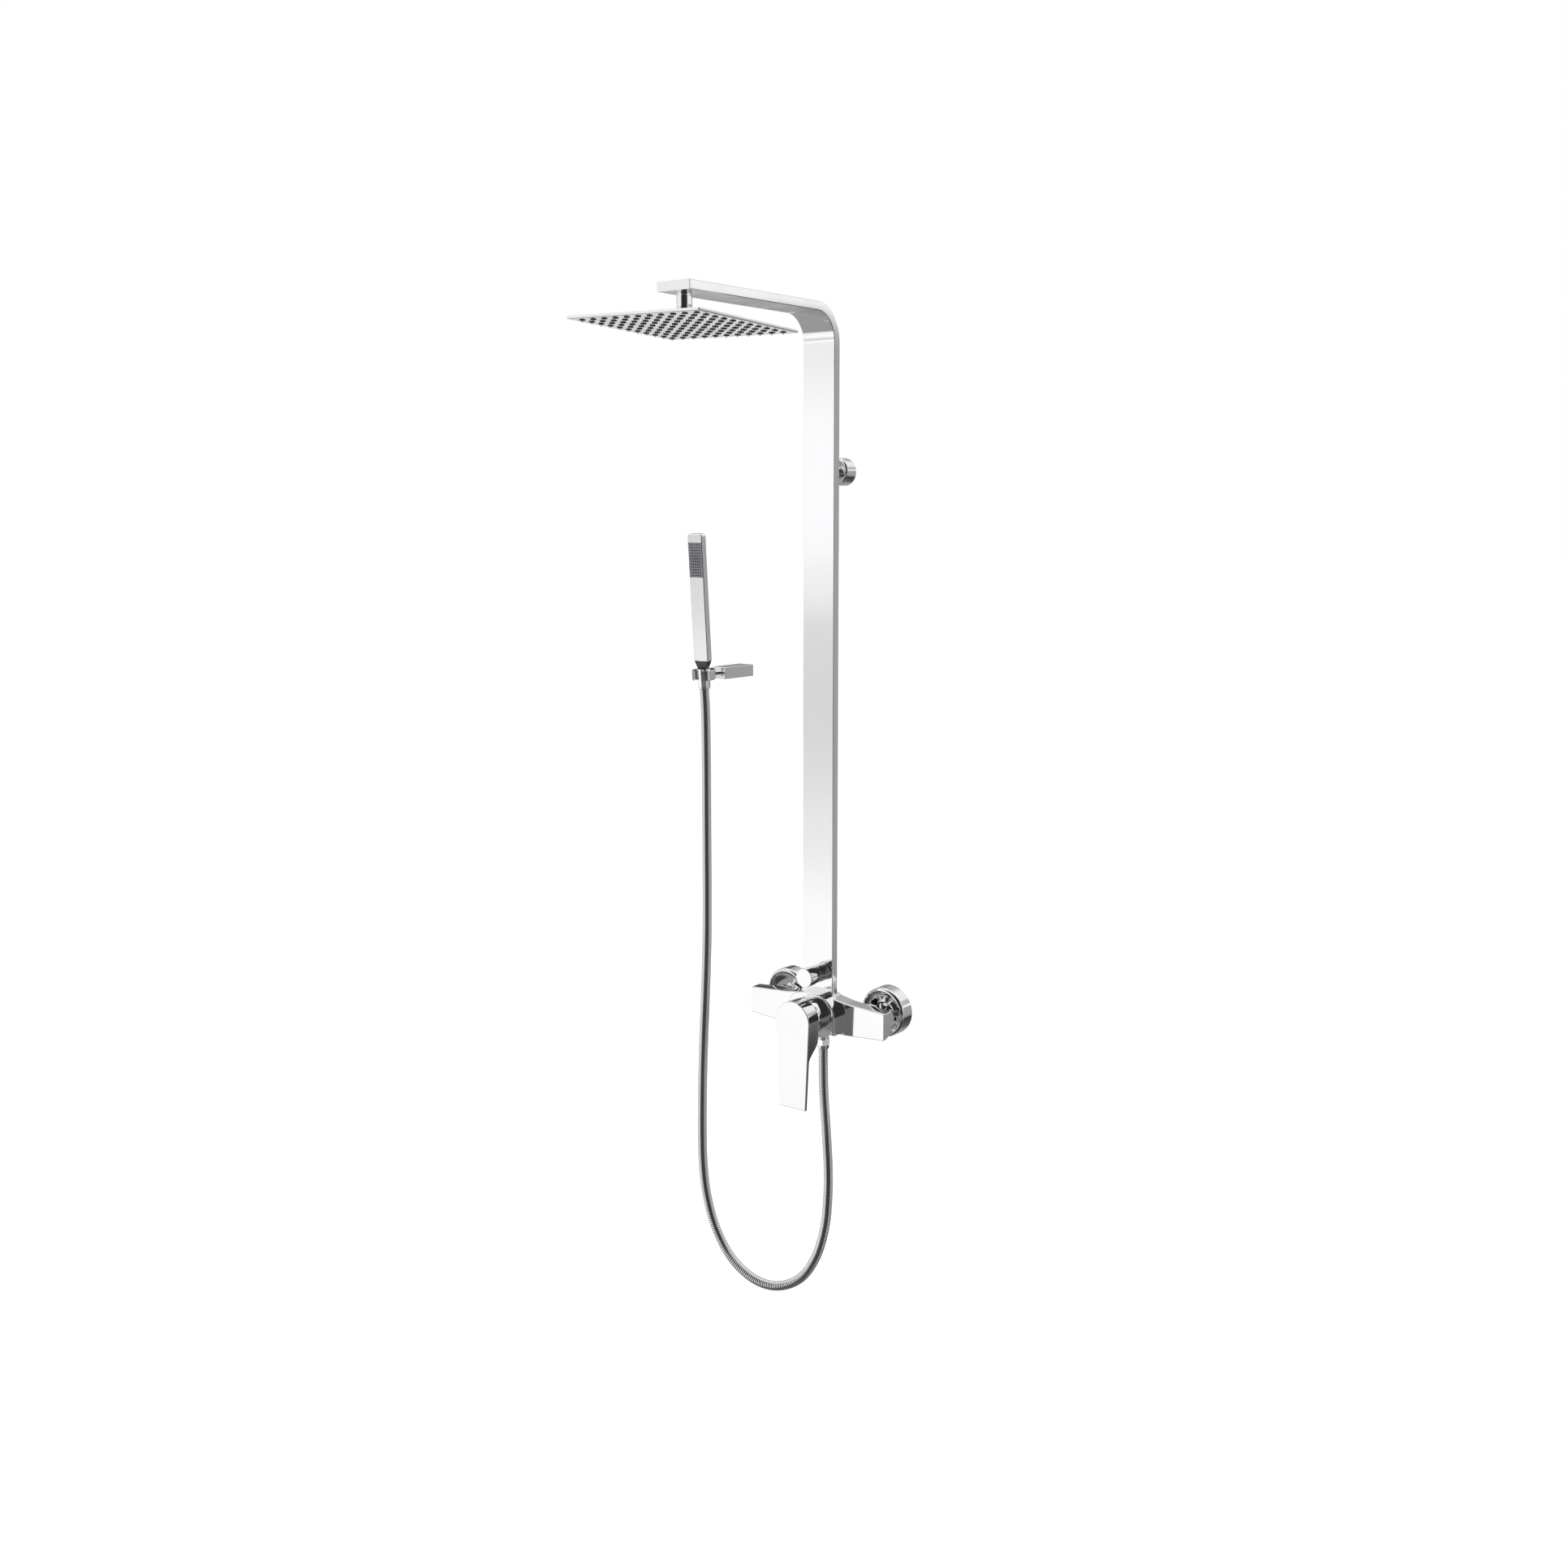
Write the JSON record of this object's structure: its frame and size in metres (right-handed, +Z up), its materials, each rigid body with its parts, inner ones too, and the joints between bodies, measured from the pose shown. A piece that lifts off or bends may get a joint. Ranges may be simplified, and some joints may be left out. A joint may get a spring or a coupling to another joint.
{
  "type": "rainfall shower column",
  "caption": "Flat-bar chrome shower column with a tilting square rain head, lever mixer, diverter knob, metal hose and a stick handset in a wall holder.",
  "frame": {"origin": "on the finished wall, halfway between the two water inlets", "axes": "+X to the right seen from the room, +Y into the wall, +Z up along the column"},
  "size_m": [0.314, 0.4582, 1.4062],
  "materials": {
    "chrome": "polished",
    "steel": "brushed",
    "hose_metal": "polished spiral",
    "brass": "machined",
    "silicone": "matte",
    "washer_rubber": "matte",
    "white_plastic": "moulded",
    "spray_grey": "fine texture",
    "dark_collar": "satin",
    "index_red": "gloss"
  },
  "bodies": {
    "fixed_column": {"column_bar": "chrome", "arm_end_cap": "chrome", "riser_tube": "white_plastic", "arm_outlet_block": "brass", "arm_nipple": "brass", "ball_nut": "chrome", "bracket_base": "steel", "bracket_rosette": "chrome", "bracket_post": "chrome", "bracket_grub_screw": "steel", "mixer_body": "chrome", "cartridge": "white_plastic", "cartridge_nut": "brass", "cartridge_cover": "chrome", "riser_connector": "brass", "diverter_block": "chrome", "diverter_cartridge": "brass", "diverter_sleeve": "chrome", "left_union": "chrome", "right_union": "chrome", "left_escutcheon": "chrome", "right_escutcheon": "chrome", "left_inlet_nut": "chrome", "right_inlet_nut": "chrome", "inlet_washers": "washer_rubber", "hose_outlet": "chrome", "hose_lower_nut": "chrome", "lower_hose_washer": "washer_rubber", "shower_hose": "hose_metal", "holder_clip": "chrome", "holder_block": "chrome", "holder_pivot": "chrome", "holder_wall_plate": "steel"},
    "tilt_ring": {"ball_seat": "white_plastic"},
    "ball_stem": {"swivel_ball": "chrome", "swivel_circlip": "steel"},
    "rain_head": {"head_hub": "chrome", "head_shell": "chrome", "head_face_plate": "steel", "nozzle_mat": "silicone"},
    "temperature_stage": {"cartridge_rotor": "white_plastic"},
    "lever_group": {"cartridge_spindle": "brass", "lever": "chrome", "lever_grub_screw": "steel", "lever_index_cap": "index_red"},
    "diverter_group": {"diverter_spindle": "steel", "diverter_knob": "chrome", "diverter_knob_screw": "steel"},
    "hand_shower": {"upper_hose_washer": "washer_rubber", "hose_cone_nut": "chrome", "handset_collar": "dark_collar", "handset_shell": "chrome", "handset_waterway": "white_plastic", "spray_plate": "spray_grey", "spray_nozzles": "silicone"}
  },
  "joints": [
    {"name": "head_tilt_front", "type": "hinge", "parent": "fixed_column", "child": "tilt_ring", "pos_m": [0, -0.339, 0.943], "axis": [1, 0, 0], "range_deg": [-10, 14]},
    {"name": "head_tilt_side", "type": "hinge", "parent": "tilt_ring", "child": "ball_stem", "pos_m": [0, -0.339, 0.943], "axis": [0, 1, 0], "range_deg": [-13, 11]},
    {"name": "head_swivel", "type": "hinge", "parent": "ball_stem", "child": "rain_head", "pos_m": [0, -0.339, 0.943], "axis": [0.0139, 0.0408, 0.9991], "continuous": true},
    {"name": "lever_temperature", "type": "hinge", "parent": "fixed_column", "child": "temperature_stage", "pos_m": [0, -0.084, -0.005], "axis": [0, 1, 0], "range_deg": [-45, 45]},
    {"name": "lever_flow", "type": "hinge", "parent": "temperature_stage", "child": "lever_group", "pos_m": [0, -0.084, -0.005], "axis": [-1, 0, 0], "range_deg": [0, 25]},
    {"name": "diverter_turn", "type": "hinge", "parent": "fixed_column", "child": "diverter_group", "pos_m": [0, -0.09, 0.051], "axis": [0, -1, 0], "range_deg": [0, 90]},
    {"name": "handset_lift", "type": "slide", "parent": "fixed_column", "child": "hand_shower", "axis": [0, -0.0698, 0.9976], "range_m": [0, 0.05]}
  ]
}
